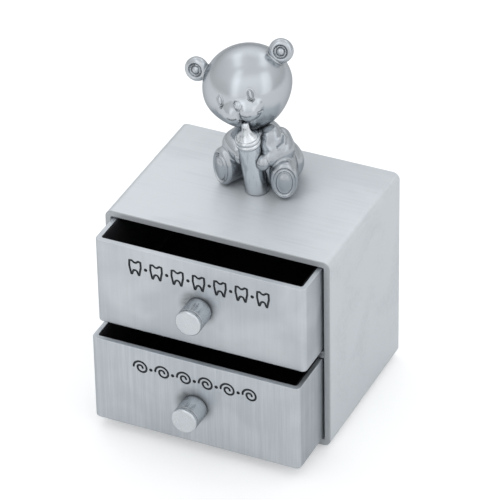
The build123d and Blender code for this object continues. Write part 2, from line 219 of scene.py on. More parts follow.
def puck(points, middle, axes, radii, half_height, rounding):
    """A round or oval disc with rounded edges, whose third axis is its own."""
    local = (points - middle) @ axes.T
    aside = egg(np.c_[local[:, :2], np.zeros(len(local))], np.zeros(3), vector(*radii, 1))
    aside = aside + rounding
    above = np.abs(local[:, 2]) - half_height + rounding
    outside = np.hypot(np.maximum(aside, 0), np.maximum(above, 0))
    return outside + np.minimum(np.maximum(aside, above), 0) - rounding


def wire(points, stops, radii):
    """A round wire through the stops, as thick at each as its radius."""
    ends = zip(stops, stops[1:], radii, radii[1:])
    return np.min([limb(points, *end) for end in ends], axis=0)


# Bear: forms of its head, bottle and body

profile_steps = 24

# The curve from the head's side to the chin's end, as shares of its radius and the chin's height
chin_curve = np.array([(1.0, 0.0), (1.0, -0.42), (0.50, -1.0), (0.0, -1.0)])


def head_outline():
    """The egg's outline as angles above the middle and the distance of each from the middle."""
    t = np.linspace(0, 1, profile_steps)[:, None]
    weights = np.hstack([(1 - t) ** 3, 3 * t * (1 - t) ** 2, 3 * t * t * (1 - t), t**3])
    chin = weights @ (chin_curve * (head_radius, chin_height))
    angle = np.radians(np.linspace(0, 90, profile_steps))
    crown = np.c_[head_radius * np.cos(angle), crown_height * np.sin(angle)]
    outline = np.vstack([chin[::-1], crown[1:]])
    return np.arctan2(outline[:, 1], outline[:, 0]), np.hypot(*outline.T)


outline_angles, outline_reach = head_outline()


def head_egg(points):
    """The head's plain egg, narrower to the chin."""
    local = (points - head_middle) @ head_axes.T
    angle = np.arctan2(local[:, 2], np.linalg.norm(local[:, :2], axis=1))
    return np.linalg.norm(local, axis=1) - np.interp(angle, outline_angles, outline_reach)


# The muzzle: a mound with two round cheeks and a nose
mound_place = (0, -14.5)
mound_radii = (5.8, 3.2, 3.5)
mound_stand = 0.85
mound_fillet = 0.3
cheek_radius = 3.0
cheek_stand = 1.55
cheek_fillet = 0.35
nose_place = (1.8, -6.0)
nose_radii = (0.8, 0.85, 1.2)
nose_sink = 0.3
nose_fillet = 0.35

# Lines cut into the face: stops, the radius at each, how far they stand off it, rounding and sides
face_cuts = (
    # The crease from the nose's side down between the cheeks
    (
        ((5.0, -6.5), (2.2, -10), (0.6, -14), (-0.4, -21), (0.5, -31)),
        (0.3, 0.3, 0.3, 0.3, 0.3),
        0.15,
        0.4,
        (1,),
    ),
    # The smile
    (
        ((3, -36), (11.5, -34.5), (20, -31.5), (24.5, -27), (24, -22)),
        (0.6, 0.55, 0.5, 0.38, 0.2),
        0.15,
        0.25,
        (-1, 1),
    ),
    # The dimple at each end of the smile
    (((24, -21.5), (31, -25.2)), (0.2, 0.2), 0.1, 0.25, (-1, 1)),
)
ear_cup_rounding = 0.3
eye_rounding = 0.12
dome_fillet = 0.2
ear_fillet = 0.45
bottle_clearance = 0.05


def axes_facing(out):
    """The axes of a form on the head that faces outwards: across, up and out."""
    across = unit(np.cross(head_up, out))
    return np.array([across, np.cross(out, across), out])


def ear_axes(side):
    """The ear's own axes."""
    aside, above = ear_lean
    return axes_facing(unit(face_ahead + side * aside * head_right + above * head_up))


def ear_face(side):
    """The middle of the ear's front."""
    return on_head(ear_shares, side) + ear_axes(side)[2] * ear_thickness / 2


def ear(points, side):
    """A thick ring with a groove round a small dome."""
    middle = on_head(ear_shares, side)
    axes = ear_axes(side)
    face = ear_face(side)
    form = puck(points, middle, axes, (ear_radius, ear_radius), ear_thickness / 2, ear_round)
    cup = egg(points, face + axes[2] * ear_cup_stand, vector(*ear_cup), axes)
    dome = egg(points, face - axes[2] * ear_dome_sink, vector(*ear_dome), axes)
    return joined(carved(form, cup, ear_cup_rounding), dome, dome_fillet)


def eye(points, form, place):
    """The head's form with an eye cut into it: an oval groove round a raised oval."""
    out = face_direction(place)
    axes = axes_facing(out)
    middle = head_middle + out * head_radius
    for radii, thickness in eye_rings:
        form = carved(form, ring(points, middle, axes, vector(*radii), thickness), eye_rounding)
    dome = egg(points, middle - out * eye_dome_sink, vector(*eye_dome), axes)
    return joined(form, dome, dome_fillet)


face_search = 3.0
face_search_steps = 121


def on_face(place, stand=0.0):
    """A place on the head's surface, given by its angles."""
    direction = face_direction(place)
    reaches = head_radius + np.linspace(-face_search, face_search, face_search_steps)
    depth = muzzle_head(head_middle + np.outer(reaches, direction))
    return head_middle + direction * (reaches[np.argmin(np.abs(depth))] + stand)


def muzzle_head(points):
    """The head with its muzzle run into it: a low mound and two round cheeks."""
    form = head_egg(points)
    out = face_direction(mound_place)
    middle = head_middle + out * (head_radius + mound_stand - mound_radii[1])
    form = joined(form, egg(points, middle, vector(*mound_radii), head_axes), mound_fillet)
    cheeks = [
        ball(
            points,
            head_middle + face_direction(place) * (head_radius + cheek_stand - cheek_radius),
            cheek_radius,
        )
        for place in cheek_places
    ]
    return joined(form, np.minimum(*cheeks), cheek_fillet)


face_lines = [
    ([on_face((side * aside, above), stand) for aside, above in stops], radii, rounding)
    for stops, radii, stand, rounding, sides in face_cuts
    for side in sides
]
nose_middle = on_face(nose_place, -nose_sink)


def head_form(points):
    """The whole head."""
    form = muzzle_head(points)
    for side in (-1, 1):
        form = joined(form, ear(points, side), ear_fillet)
    for place in eye_places:
        form = eye(points, form, place)
    for stops, radii, rounding in face_lines:
        form = carved(form, wire(points, stops, radii), rounding)
    form = joined(form, egg(points, nose_middle, vector(*nose_radii), head_axes), nose_fillet)
    return carved(form, bottle_form(points) - bottle_clearance, eye_rounding)


teat_length = 4.0
teat_sink = 0.6
ring_height = 1.2
bottle_foot_radius = 2.75
bottle_top_radius = 2.6
bottle_ring_radius = 2.95
collar_top = bottle_length - teat_length
ring_foot = collar_top - 2 * ring_height
foot_depth = 3.0
step_length = 0.01

# The teat's outline: shares of its height, and the radius at each
teat_height_shares = (0.0, 0.07, 0.16, 0.28, 0.45, 0.72, 1.0)
teat_radii = (2.45, 2.25, 1.8, 1.35, 1.05, 0.9, 0.8)
bottle_outline = [
    (-foot_depth, bottle_foot_radius),
    (0, bottle_foot_radius),
    (ring_foot, bottle_top_radius),
    (ring_foot + step_length, bottle_ring_radius),
    (collar_top, bottle_ring_radius),
    (collar_top + step_length, teat_radii[0]),
]
for share, radius in zip(teat_height_shares[1:], teat_radii[1:]):
    bottle_outline.append((collar_top + share * (teat_length + teat_sink), radius))


def bottle_form(points):
    """The bottle's outline turned about its axis, for what is cut back from it."""
    height = (points - bottle_foot) @ bottle_axis
    aside = np.linalg.norm(points - bottle_foot - height[:, None] * bottle_axis, axis=1)
    wall = aside - np.interp(height, *zip(*bottle_outline))
    return np.maximum(wall, height - bottle_length - teat_sink)


def sole_axes(side):
    """The sole's own axes: across, up and out of its face."""
    angle = math.radians(side * leg_turn)
    out = vector(math.sin(angle), -math.cos(angle), 0)
    across = vector(math.cos(angle), math.sin(angle), 0)
    return np.array([across, vector(0, 0, 1), out])


def sole_middle(side):
    """The middle of a sole's face."""
    return on_bear(sole_shares[side])


groove_stand = 0.02
groove_inset = (0.95, 1.5)
groove_radius = 0.5
groove_rounding = 0.12
pad_radii = (1.75, 2.95, 1.35)
pad_sink = 0.8


def leg(points, side):
    """A short leg that lies on the case, with a rim, a groove and a domed pad on its sole."""
    axes = sole_axes(side)
    face = sole_middle(side)
    half = vector(sole_width / 2, sole_height / 2)
    middle = face - axes[2] * leg_length / 2
    form = puck(points, middle, axes, half, leg_length / 2, sole_round)
    groove_middle = face + axes[2] * groove_stand
    groove = ring(points, groove_middle, axes, half - vector(*groove_inset), groove_radius)
    pad = egg(points, face - axes[2] * pad_sink, vector(*pad_radii), axes)
    return joined(carved(form, groove, groove_rounding), pad, dome_fillet)


elbow_fillet = 2.4
paw_fillet = 0.2


def arm(points, shares):
    """An arm in a thick sleeve, bent at the elbow, with a round paw at its end."""
    shoulder, elbow, paw = (on_bear(place) for place in shares)
    form = joined(
        limb(points, shoulder, elbow, shoulder_radius, elbow_radius),
        limb(points, elbow, elbow + (paw - elbow) * cuff_share, elbow_radius, cuff_radius),
        elbow_fillet,
    )
    return joined(form, egg(points, paw, paw_radius * vector(*paw_stretch)), paw_fillet)


# The stuffed chest between the arms: the place of each part and its radii
chest_parts = (((0.21, -0.33, 0.71), (3.3, 3.1, 3.0)), ((0.20, -0.30, 0.86), (2.6, 2.4, 2.2)))
fold_stops_shares = (
    ((0.09, -0.17, 0.865), (0.20, -0.33, 0.86), (0.26, -0.42, 0.835)),
    ((0.37, -0.21, 0.86), (0.49, -0.275, 0.845), (0.54, -0.41, 0.805), (0.48, -0.51, 0.765)),
)
fold_radius = 0.38
hip_fillet = 1.6
leg_fillet = 0.45
chest_fillet = 1.5
arm_fillet = 0.8
fold_fillet = 0.45
seat_clearance = 0.08
bottle_seat_rounding = 0.15
chin_seat_rounding = 0.2
foot_rounding = 0.7


def sleeve_folds(points):
    """Two soft folds of the sleeve in the crook of the right arm."""
    folds = [
        wire(points, [on_bear(stop) for stop in stops], [fold_radius] * len(stops))
        for stops in fold_stops_shares
    ]
    return np.minimum(*folds)


def body_form(points):
    """The seated body with its arms and legs."""
    torso = vector(torso_width / 2, torso_width / 2, torso_height / 2)
    hips = vector(hip_width / 2, hip_thickness / 2, hip_thickness / 2)
    form = egg(points, on_bear(torso_middle_shares), torso)
    form = joined(form, egg(points, on_bear(hip_middle_shares), hips), hip_fillet)
    for side in (-1, 1):
        form = joined(form, leg(points, side), leg_fillet)
    for shares, radii in chest_parts:
        form = joined(form, egg(points, on_bear(shares), vector(*radii)), chest_fillet)
    for shares in (right_arm_shares, left_arm_shares):
        form = joined(form, arm(points, shares), arm_fillet)
    form = joined(form, sleeve_folds(points), fold_fillet)
    form = carved(form, bottle_form(points) - seat_clearance, bottle_seat_rounding)
    form = carved(form, muzzle_head(points) - seat_clearance, chin_seat_rounding)
    return carved(form, points[:, 2] - case_top, foot_rounding)


# The case's top counts as nearby metal for the creases, so the dark where the bear and the bottle stand
# on it is painted shade
def near_bottle(points):
    """What stands round the bottle: the bear and the case's top."""
    return np.min([body_form(points), head_form(points), points[:, 2] - case_top], axis=0)


def everything_near(points):
    """The whole bear with its bottle, and the case's top."""
    return np.minimum(near_bottle(points), bottle_form(points))


# Modelling helpers


def to_object(shape, name):
    """A finished mesh as an object at the origin, in metres, with smooth faces that point outwards."""
    shape.transform(Matrix.Scale(MM, 4))
    bmesh.ops.recalc_face_normals(shape, faces=shape.faces[:])
    for face in shape.faces:
        face.smooth = True
    mesh = bpy.data.meshes.new(name)
    shape.to_mesh(mesh)
    shape.free()
    piece = bpy.data.objects.new(name, mesh)
    bpy.context.scene.collection.objects.link(piece)
    return piece


def round_off(shape, corners, width, steps, kind):
    """Round a mesh's edges or its corners."""
    bmesh.ops.bevel(
        shape, geom=corners, offset=width, segments=steps, profile=0.5, affect=kind, material=-1
    )


def one_skin(shape, voxel):
    """The shapes of a mesh as one closed skin of small even faces."""
    mesh = bpy.data.meshes.new("clay")
    shape.to_mesh(mesh)
    shape.free()
    carrier = bpy.data.objects.new("clay", mesh)
    bpy.context.scene.collection.objects.link(carrier)
    remesh = carrier.modifiers.new("Skin", "REMESH")
    remesh.mode = "VOXEL"
    remesh.voxel_size = voxel
    graph = bpy.context.evaluated_depsgraph_get()
    skin = bpy.data.meshes.new_from_object(carrier.evaluated_get(graph))
    result = bmesh.new()
    result.from_mesh(skin)
    bpy.data.objects.remove(carrier)
    for used in (mesh, skin):
        bpy.data.meshes.remove(used)
    return result


def slopes(form, points, step=0.02):
    """How the form changes along each axis at the points."""
    return np.stack(
        [(form(points + step * axis) - form(points - step * axis)) / (2 * step) for axis in np.eye(3)],
        axis=1,
    )


least_steepness = 0.2


def settle(shape, form, rounds, most=0.5):
    """Move a mesh's points onto the form's surface."""
    points = np.array([vertex.co for vertex in shape.verts])
    for _ in range(rounds):
        slope = slopes(form, points)
        steep = np.maximum((slope**2).sum(axis=1), least_steepness)
        move = form(points)[:, None] * slope / steep[:, None]
        size = np.maximum(np.linalg.norm(move, axis=1), tiny)
        points = points - move * np.minimum(1, most / size)[:, None]
    for vertex, place in zip(shape.verts, points):
        vertex.co = place


def refine(shape, zones):
    """Divide the faces near each zone's middle, within its reach."""
    for middle, reach in zones:
        near = {v for v in shape.verts if (v.co - Vector(middle)).length < reach}
        edges = [e for e in shape.edges if e.verts[0] in near and e.verts[1] in near]
        bmesh.ops.subdivide_edges(shape, edges=edges, cuts=1, use_grid_fill=True)
        many = [face for face in shape.faces if len(face.verts) > 4]
        bmesh.ops.triangulate(shape, faces=many)


def evened(shape, values, rounds):
    """The values at a mesh's points, each averaged with those of its neighbours."""
    start, end = np.array([[vertex.index for vertex in edge.verts] for edge in shape.edges]).T
    size = len(values)
    count = 1 + np.bincount(start, minlength=size) + np.bincount(end, minlength=size)
    for _ in range(rounds):
        around = np.bincount(start, values[end], size) + np.bincount(end, values[start], size)
        values = (values + around) / count
    return values


# How far from a point its creases are looked for, and how much each reach counts
crease_reaches = ((0.25, 0.4), (0.6, 0.35), (1.4, 0.25))


def how_deep(points, normals, near):
    """How deep in creases the points lie: the sum, over some reaches, of how close other metal is."""
    depth = np.zeros(len(points))
    for reach, weight in crease_reaches:
        depth += weight * (1 - np.clip(near(points + normals * reach) / reach, 0, 1))
    return depth


def mark_creases(piece, depth):
    """Keep how deep in its creases each of a piece's points lies, for its finish."""
    marks = piece.data.attributes.new("crease_depth", "FLOAT", "POINT")
    marks.data.foreach_set("value", depth.astype(np.float32))


first_settling = 4
smoothing_rounds = 3
smoothing = 0.4
later_settling = 2
later_move = 0.15
slope_step = 0.05
depth_rounds = 3


def cast_metal(name, clay, voxel, form, zones):
    """A cast piece: one skin over the rough clay, settled onto its form, with its creases marked."""
    shape = one_skin(clay, voxel)
    settle(shape, form, first_settling)
    refine(shape, zones)
    every_axis = {f"use_axis_{axis}": True for axis in "xyz"}
    for _ in range(smoothing_rounds):
        bmesh.ops.smooth_vert(shape, verts=shape.verts[:], factor=smoothing, **every_axis)
        settle(shape, form, later_settling, later_move)
    shape.verts.index_update()
    points = np.array([vertex.co for vertex in shape.verts])
    slope = slopes(form, points, slope_step)
    normals = slope / np.maximum(np.linalg.norm(slope, axis=1), tiny)[:, None]
    depth = evened(shape, how_deep(points, normals, everything_near), depth_rounds)
    piece = to_object(shape, name)
    mark_creases(piece, depth)
    piece.data.normals_split_custom_set_from_vertices(normals.tolist())
    return piece


ball_divisions = 4
limb_segments = 32
puck_segments = 48


def add_ball(shape, middle, radii, axes=np.eye(3)):
    """A ball, stretched along the axes, in the rough clay."""
    place = Matrix.Translation(Vector(middle)) @ Matrix(axes.T.tolist()).to_4x4()
    stretch = Matrix.Diagonal((*radii, 1))
    bmesh.ops.create_icosphere(shape, subdivisions=ball_divisions, radius=1, matrix=place @ stretch)


def add_limb(shape, start, end, start_radius, end_radius):
    """A tapered limb in the rough clay."""
    along = Vector(end - start)
    turned_up = along.to_track_quat("Z", "Y").to_matrix().to_4x4()
    place = Matrix.Translation(Vector((start + end) / 2)) @ turned_up
    bmesh.ops.create_cone(
        shape,
        cap_ends=True,
        segments=limb_segments,
        radius1=start_radius,
        radius2=end_radius,
        depth=along.length,
        matrix=place,
    )
    add_ball(shape, start, (start_radius,) * 3)
    add_ball(shape, end, (end_radius,) * 3)


def add_puck(shape, middle, radii, height, axes):
    """A round or oval disc in the rough clay."""
    place = Matrix.Translation(Vector(middle)) @ Matrix(axes.T.tolist()).to_4x4()
    bmesh.ops.create_cone(
        shape,
        cap_ends=True,
        segments=puck_segments,
        radius1=1,
        radius2=1,
        depth=height,
        matrix=place @ Matrix.Diagonal((*radii, 1, 1)),
    )


# Bear: its pieces

body_voxel = 0.26
head_voxel = 0.28

# Zones with finer faces: how far round its middle each reaches
sole_reach = 5.2
pad_reach = 5.85
pad_zone_stand = 3.0
elbow_reach = 3.2
fold_reach = 2.6
ear_reach = 4.2
ear_face_reach = 2.8
muzzle_zone = ((0, -22), 6.8)
eye_reaches = (2.1, 1.9)
mouth_zone = ((0, -18), 4.2)


def make_bear_body():
    """The seated body, with its arms, legs and soles."""
    clay = bmesh.new()
    add_ball(clay, on_bear(torso_middle_shares), (torso_width / 2, torso_width / 2, torso_height / 2))
    add_ball(clay, on_bear(hip_middle_shares), (hip_width / 2, hip_thickness / 2, hip_thickness / 2))
    for side in (-1, 1):
        axes = sole_axes(side)
        middle = sole_middle(side) - axes[2] * leg_length / 2
        add_puck(clay, middle, (sole_width / 2, sole_height / 2), leg_length, axes)
    for shoulder, elbow, paw in (right_arm_shares, left_arm_shares):
        add_limb(clay, on_bear(shoulder), on_bear(elbow), shoulder_radius, elbow_radius)
        add_limb(clay, on_bear(elbow), on_bear(paw), elbow_radius, paw_radius)
    for shares, radii in chest_parts:
        add_ball(clay, on_bear(shares), radii)
    zones = [(sole_middle(side), sole_reach) for side in (-1, 1)]
    for side in (-1, 1):
        zones.append((sole_middle(side) + sole_axes(side)[2] * pad_zone_stand, pad_reach))
    zones += [(on_bear(shares[1]), elbow_reach) for shares in (right_arm_shares, left_arm_shares)]
    zones += [(on_bear(stops[1]), fold_reach) for stops in fold_stops_shares]
    return cast_metal("bear_body_cast", clay, body_voxel, body_form, zones)


def make_bear_head():
    """The head, with its ears and its face."""
    clay = bmesh.new()
    add_ball(clay, head_middle, (head_radius, head_radius, crown_height), head_axes)
    for side in (-1, 1):
        axes = ear_axes(side)
        add_puck(clay, on_head(ear_shares, side), (ear_radius, ear_radius), ear_thickness, axes)
    zones = [(on_head(ear_shares, side), ear_reach) for side in (-1, 1)]
    zones += [(ear_face(side), ear_face_reach) for side in (-1, 1)]
    eye_zones = [(place, reach) for place in eye_places for reach in eye_reaches]
    zones += [(on_face(place), reach) for place, reach in (muzzle_zone, *eye_zones, mouth_zone)]
    return cast_metal("bear_head_cast", clay, head_voxel, head_form, zones)


bottle_steps = 96
barrel_rows = 13
arc_steps = 6
bottle_sunk = 2.0
neck_length = 0.08
teat_end_gap = 0.3
teat_tip_gap = 0.2
merge_distance = 0.001
level_error = 1e-4
foot_bevel = 0.35
foot_bevel_steps = 4
seam_width = 0.12
seam_depth = 0.45


def bottle_profile():
    """The bottle's outline as radii and heights, from the middle of its foot to the teat's tip."""
    outline = [(0.0, -bottle_sunk), (bottle_foot_radius, -bottle_sunk)]
    for share in np.linspace(0, 1, barrel_rows):
        radius = bottle_foot_radius + (bottle_top_radius - bottle_foot_radius) * share
        outline.append((radius, share * (ring_foot - neck_length)))
    outline.append((bottle_top_radius, ring_foot))
    for ring_start in (ring_foot, ring_foot + ring_height):
        for step in range(arc_steps + 1):
            angle = math.pi * step / arc_steps
            bulge = (bottle_ring_radius - bottle_top_radius) * math.sin(angle)
            height = ring_start + ring_height * (1 - math.cos(angle)) / 2
            outline.append((bottle_top_radius + bulge, height))
    teat_reach = teat_length + teat_sink - teat_end_gap
    for share, radius in zip(teat_height_shares, teat_radii):
        outline.append((radius, collar_top + share * teat_reach))
    return [*outline, (0.0, bottle_length + teat_sink - teat_tip_gap)]


def make_bottle():
    """A turned bottle with a two-ring collar and a teat, cut off level where it stands on the case."""
    outline = bottle_profile()
    shape = bmesh.new()
    vertices = [shape.verts.new((radius, 0, height)) for radius, height in outline]
    edges = [shape.edges.new(pair) for pair in zip(vertices, vertices[1:])]
    bmesh.ops.spin(
        shape,
        geom=vertices + edges,
        cent=(0, 0, 0),
        axis=(0, 0, 1),
        dvec=(0, 0, 0),
        angle=math.tau,
        steps=bottle_steps,
        use_merge=True,
    )
    bmesh.ops.remove_doubles(shape, verts=shape.verts[:], dist=merge_distance)
    upright = Vector(bottle_axis).to_track_quat("Z", "Y").to_matrix().to_4x4()
    shape.transform(Matrix.Translation(Vector(bottle_foot)) @ upright)
    everything = shape.verts[:] + shape.edges[:] + shape.faces[:]
    cut = bmesh.ops.bisect_plane(
        shape, geom=everything, plane_co=(0, 0, case_top), plane_no=(0, 0, -1), clear_outer=True
    )
    foot_rim = [piece for piece in cut["geom_cut"] if isinstance(piece, bmesh.types.BMEdge)]
    bmesh.ops.holes_fill(shape, edges=foot_rim, sides=0)
    foot_rim = [e for e in shape.edges if all(abs(v.co.z - case_top) < level_error for v in e.verts)]
    round_off(shape, foot_rim, foot_bevel, foot_bevel_steps, "EDGES")
    piece = to_object(shape, "feeding_bottle_cast")
    points = np.array([vertex.co for vertex in piece.data.vertices]) / MM
    normals = np.array([vertex.normal for vertex in piece.data.vertices])
    depth = how_deep(points, normals, near_bottle)
    height = (points - bottle_foot) @ bottle_axis
    for seam in (ring_foot, ring_foot + ring_height, collar_top):
        depth += seam_depth * np.exp(-(((height - seam) / seam_width) ** 2))
    mark_creases(piece, np.clip(depth, 0, 1))
    return piece


# Node helpers


def add_node(tree, kind, inputs=None, **settings):
    """A shader node with its settings, and its inputs set or linked by name or number."""
    node = tree.nodes.new(kind)
    for name, value in settings.items():
        setattr(node, name, value)
    for socket, value in (inputs or {}).items():
        if isinstance(value, bpy.types.NodeSocket):
            tree.links.new(value, node.inputs[socket])
        else:
            node.inputs[socket].default_value = value
    return node


def use_group(tree, group, inputs):
    """A node group placed in a tree."""
    return add_node(tree, "ShaderNodeGroup", inputs, node_tree=group)


def sums(tree, operation, first, second=0.0, clamp=False):
    """One step of arithmetic."""
    node = add_node(tree, "ShaderNodeMath", {0: first, 1: second}, operation=operation, use_clamp=clamp)
    return node.outputs[0]


def product(tree, first, *others):
    """Several values multiplied."""
    for other in others:
        first = sums(tree, "MULTIPLY", first, other)
    return first


def total(tree, first, *others, clamp=False):
    """Several values added, and kept from 0 to 1 where clamp is true."""
    for other in others[:-1]:
        first = sums(tree, "ADD", first, other)
    return sums(tree, "ADD", first, others[-1], clamp)


def under(tree, value, limit):
    """One where the value is under the limit in millimetres, and nothing elsewhere."""
    return sums(tree, "LESS_THAN", value, limit * MM)


def over(tree, value, limit):
    """One where the value is over the limit in millimetres, and nothing elsewhere."""
    return sums(tree, "GREATER_THAN", value, limit * MM)


def swing(tree, value, share):
    """A value from 0 to 1 made to swing by the share, half of it to each side of nothing."""
    return product(tree, sums(tree, "SUBTRACT", value, 0.5), share)


def ramp(tree, value, low, high, to_low=0.0, to_high=1.0):
    """A value spread smoothly from one range to another."""
    node = add_node(
        tree,
        "ShaderNodeMapRange",
        {"Value": value, "From Min": low, "From Max": high, "To Min": to_low, "To Max": to_high},
        interpolation_type="SMOOTHSTEP",
    )
    return node.outputs[0]


def ramp_along(tree, value, low, high, to_low=0.0, to_high=1.0):
    """The same for a range in millimetres."""
    return ramp(tree, value, low * MM, high * MM, to_low, to_high)


def mixed(tree, share, first, second):
    """Two colours mixed."""
    node = add_node(tree, "ShaderNodeMix", {0: share, 6: first, 7: second}, data_type="RGBA")
    return node.outputs[2]


def vector_step(tree, operation, first, second):
    """One step of arithmetic on two vectors, with its vector and its value."""
    node = add_node(tree, "ShaderNodeVectorMath", {0: first, 1: second}, operation=operation)
    return node.outputs


def new_group(name, inputs, outputs):
    """An empty node group with its sockets named, and its two end nodes."""
    group = bpy.data.node_groups.new(name, "ShaderNodeTree")
    for label, kind in inputs:
        group.interface.new_socket(label, in_out="INPUT", socket_type=kind)
    for label in outputs:
        group.interface.new_socket(label, in_out="OUTPUT", socket_type="NodeSocketFloat")
    return group, group.nodes.new("NodeGroupInput"), group.nodes.new("NodeGroupOutput")


grain_range = (0.3, 0.7)
cloud_range = (0.28, 0.72)
brushed_nap_scale = 0.06


def brushed_lines_group():
    """Fine lines left by brushing, from a place stretched along the strokes."""
    inputs = [("Place", "NodeSocketVector"), ("Stretch", "NodeSocketVector")]
    group, source, result = new_group("brushed_lines", inputs, ["Fine", "Broad"])
    stretched = add_node(
        group, "ShaderNodeMapping", {"Vector": source.outputs[0], "Scale": source.outputs[1]}
    )
    for label, scale, detail in (("Fine", 1.0, 3.0), ("Broad", 0.18, 2.0)):
        noise = add_node(
            group,
            "ShaderNodeTexNoise",
            {"Vector": stretched.outputs[0], "Scale": scale, "Detail": detail, "Roughness": 0.6},
        )
        group.links.new(ramp(group, noise.outputs[0], *grain_range), result.inputs[label])
    return group


def clouding_group():
    """Slow uneven tone, as plating has."""
    inputs = [("Place", "NodeSocketVector"), ("Scale", "NodeSocketFloat")]
    group, source, result = new_group("clouding", inputs, ["Cloud"])
    noise = add_node(
        group,
        "ShaderNodeTexNoise",
        {"Vector": source.outputs[0], "Scale": source.outputs[1], "Detail": 2.0, "Distortion": 0.6},
    )
    group.links.new(ramp(group, noise.outputs[0], *cloud_range), result.inputs[0])
    return group


def round_mark_group():
    """A soft mark round a middle: one inside the inner reach, fading to nothing at the outer."""
    inputs = [(label, "NodeSocketVector") for label in ("Place", "Middle", "Reach")]
    group, source, result = new_group("round_mark", [*inputs, ("Inner", "NodeSocketFloat")], ["Mark"])
    place, middle, reach, inner = source.outputs[:4]
    away = vector_step(group, "SUBTRACT", place, middle)[0]
    shares = vector_step(group, "DIVIDE", away, reach)[0]
    distance = add_node(group, "ShaderNodeVectorMath", {0: shares}, operation="LENGTH").outputs["Value"]
    group.links.new(ramp(group, distance, inner, 1.0, 1.0, 0.0), result.inputs[0])
    return group


def nap_group():
    """The short pile of felt or velvet."""
    inputs = [("Place", "NodeSocketVector"), ("Scale", "NodeSocketFloat")]
    group, source, result = new_group("nap", inputs, ["Tone", "Height"])
    place, scale = source.outputs[:2]
    fibres = add_node(
        group, "ShaderNodeTexNoise", {"Vector": place, "Scale": scale, "Detail": 4.0, "Roughness": 0.75}
    ).outputs[0]
    broad = product(group, scale, brushed_nap_scale)
    brushed = add_node(group, "ShaderNodeTexNoise", {"Vector": place, "Scale": broad, "Detail": 1.0})
    tone = total(group, product(group, fibres, 0.5), product(group, brushed.outputs[0], 0.5))
    group.links.new(ramp(group, tone, *grain_range), result.inputs["Tone"])
    group.links.new(fibres, result.inputs["Height"])
    return group


brushed_lines = brushed_lines_group()
clouding = clouding_group()
round_mark = round_mark_group()
nap = nap_group()


def new_finish(name):
    """An empty material with its shader and the place on the object."""
    finish = bpy.data.materials.new(name)
    finish.use_nodes = True
    tree = finish.node_tree
    tree.nodes.clear()
    shader = tree.nodes.new("ShaderNodeBsdfPrincipled")
    add_node(tree, "ShaderNodeOutputMaterial", {0: shader.outputs[0]})
    place = tree.nodes.new("ShaderNodeTexCoord").outputs["Object"]
    return finish, tree, shader, place


# Metal

pewter_light = (0.735, 0.765, 0.79, 1)
pewter_dark = (0.52, 0.55, 0.58, 1)
patina_and_shade_colour = (0.045, 0.05, 0.056, 1)
edge_tint = (0.55, 0.56, 0.57, 1)
plate_cloud_scale = 75.0
broad_share = 0.7
rough_swing = 0.08
patina_and_shade_roughness = 0.25
line_height = 0.02


def pewter(name, stretch, roughness, marks, lines=0.35, clouds=0.3, tone=0.6, depth=1.0, metal=1.0):
    """Brushed pewter plate. marks gives the share of dark patina and of painted shade from the tree and
    the place.
    """
    finish, tree, shader, place = new_finish(name)
    brushing = use_group(tree, brushed_lines, {"Place": place, "Stretch": stretch})
    cloud = use_group(tree, clouding, {"Place": place, "Scale": plate_cloud_scale})
    fine, broad = brushing.outputs
    swings = [swing(tree, fine, lines), swing(tree, broad, lines * broad_share)]
    share = total(tree, *swings, swing(tree, cloud.outputs[0], clouds), tone, clamp=True)
    # Its dark share is patina in hollows, and painted shade where the marks put shade
    patina = marks(tree, place)
    colour = mixed(tree, patina, mixed(tree, share, pewter_dark, pewter_light), patina_and_shade_colour)
    tree.links.new(colour, shader.inputs["Base Color"])
    shader.inputs["Metallic"].default_value = metal
    shader.inputs["Specular Tint"].default_value = edge_tint
    rough = total(
        tree,
        product(tree, fine, rough_swing * depth),
        roughness - rough_swing * depth / 2,
        product(tree, patina, patina_and_shade_roughness),
        clamp=True,
    )
    tree.links.new(rough, shader.inputs["Roughness"])
    height = {"Height": fine, "Distance": line_height * depth * MM, "Strength": 0.5}
    tree.links.new(add_node(tree, "ShaderNodeBump", height).outputs[0], shader.inputs["Normal"])
    return finish


def no_patina(tree, place):
    """Plate with no dark patina on it."""
    return 0.0


# Case: where it is dark inside its bays, where painted shade darkens it round the bear, at the front and
# behind, and how dark it is
bay_half_width = 27.3
bay_foot = 2.2
case_top_wall = 1.1
case_back_depth = 0.4
bay_fade = (0.5, 3.0)
bay_dark = 0.8
plate_depth = 0.3
# Painted shade: a shadow round the bear on the top, the front face darker, and the top darker towards
# the back
bear_shade_middle = (bear_across + 0.6, bear_back - 2.0, case_top)
bear_shade_reach = (12.5, 10.5, 10.5)
bear_shade_inner = 0.6
bear_shade_dark = 0.1
front_shade_fade = (0.1, 0.4)
front_shade_dark = 0.30
rear_shade_start = 2.0
rear_shade_dark = 0.09


